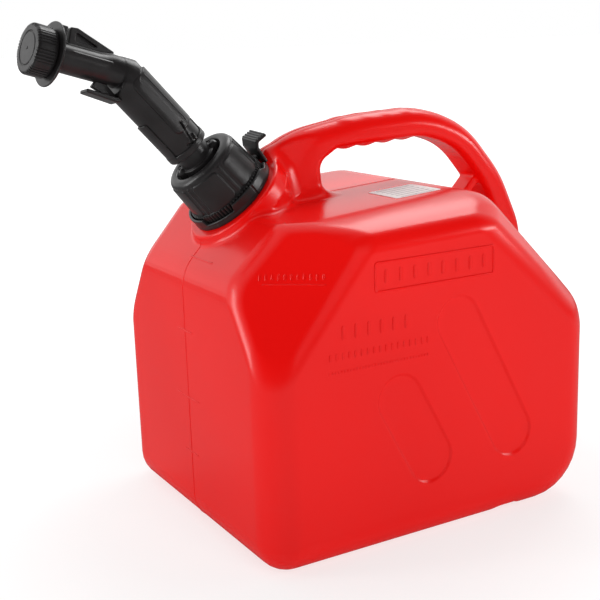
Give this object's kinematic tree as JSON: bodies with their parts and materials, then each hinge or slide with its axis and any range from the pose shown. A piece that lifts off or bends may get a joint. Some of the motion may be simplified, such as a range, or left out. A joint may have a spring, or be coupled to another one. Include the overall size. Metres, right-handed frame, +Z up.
{
  "type": "jerry can",
  "caption": "Plastic fuel can with moulded-on loop handle, faceted shoulders, and a screwed-on bent self-closing spout with a screw cap and child lock.",
  "frame": {"origin": "centre of the flat base, on the surface that the can stands on", "axes": "+Z up, +X along the can towards its rear, so the neck and spout lean towards -X; +Y across the can"},
  "size_m": [0.3946, 0.2386, 0.3548],
  "materials": {
    "red_hdpe": "glossy blow-moulded polyethylene",
    "black_plastic": "satin injection-moulded plastic",
    "seal": "matt rubber",
    "spring": "drawn steel wire",
    "label": "coated paper"
  },
  "bodies": {
    "can": {"can_body": "red_hdpe", "top_label": "label", "lock_ring": "black_plastic"},
    "lock_lever": {"lock_tab": "black_plastic"},
    "spout_carrier": {"neck_gasket": "seal"},
    "collar_ring": {"collar": "black_plastic"},
    "spout_foot": {"spout_base": "black_plastic", "base_seal": "seal", "sleeve_spring": "spring"},
    "sliding_spout": {"spout_sleeve": "black_plastic", "slide_retainer": "black_plastic", "nozzle_elbow": "black_plastic", "rim_hook": "black_plastic", "splash_disc": "black_plastic", "vent_tube": "black_plastic", "valve_stem": "black_plastic", "valve_plug": "black_plastic", "valve_seal": "seal"},
    "cap_carrier": {"cap_liner": "seal"},
    "cap": {"nozzle_cap": "black_plastic"}
  },
  "joints": [
    {"name": "lock_tab_flex", "type": "hinge", "parent": "can", "child": "lock_lever", "pos_m": [-0.07197, -0.00221, 0.25839], "axis": [0.0518, 0.9976, 0.0467], "range_deg": [0, 5], "stiffness_Nm_per_rad": 1.2, "springref_deg": -2.86},
    {"name": "spout_lift", "type": "slide", "parent": "can", "child": "spout_carrier", "axis": [-0.6691, 0, 0.7431], "range_m": [0, 0.0241]},
    {"name": "collar_turn", "type": "hinge", "parent": "spout_carrier", "child": "collar_ring", "pos_m": [-0.0932, 0, 0.2347], "axis": [-0.6691, 0, 0.7431], "range_deg": [0, 1440]},
    {"name": "spout_swivel", "type": "hinge", "parent": "spout_carrier", "child": "spout_foot", "pos_m": [-0.0932, 0, 0.2347], "axis": [-0.6691, 0, 0.7431], "continuous": true},
    {"name": "sleeve_slide", "type": "slide", "parent": "spout_foot", "child": "sliding_spout", "axis": [0.6691, 0, -0.7431], "range_m": [0, 0.007], "stiffness_N_per_m": 800, "springref_m": -0.01, "deforming": ["sleeve_spring"]},
    {"name": "cap_lift", "type": "slide", "parent": "sliding_spout", "child": "cap_carrier", "axis": [-0.9513, -0.1123, 0.2871], "range_m": [0, 0.0106]},
    {"name": "cap_turn", "type": "hinge", "parent": "cap_carrier", "child": "cap", "pos_m": [-0.22348, -0.00617, 0.33707], "axis": [-0.9513, -0.1123, 0.2871], "range_deg": [0, 1080]}
  ],
  "couplings": [
    {"joint": "spout_lift", "follows": "collar_turn", "m_per_rad": 0.00095493},
    {"joint": "cap_lift", "follows": "cap_turn", "m_per_rad": 0.00055704}
  ]
}
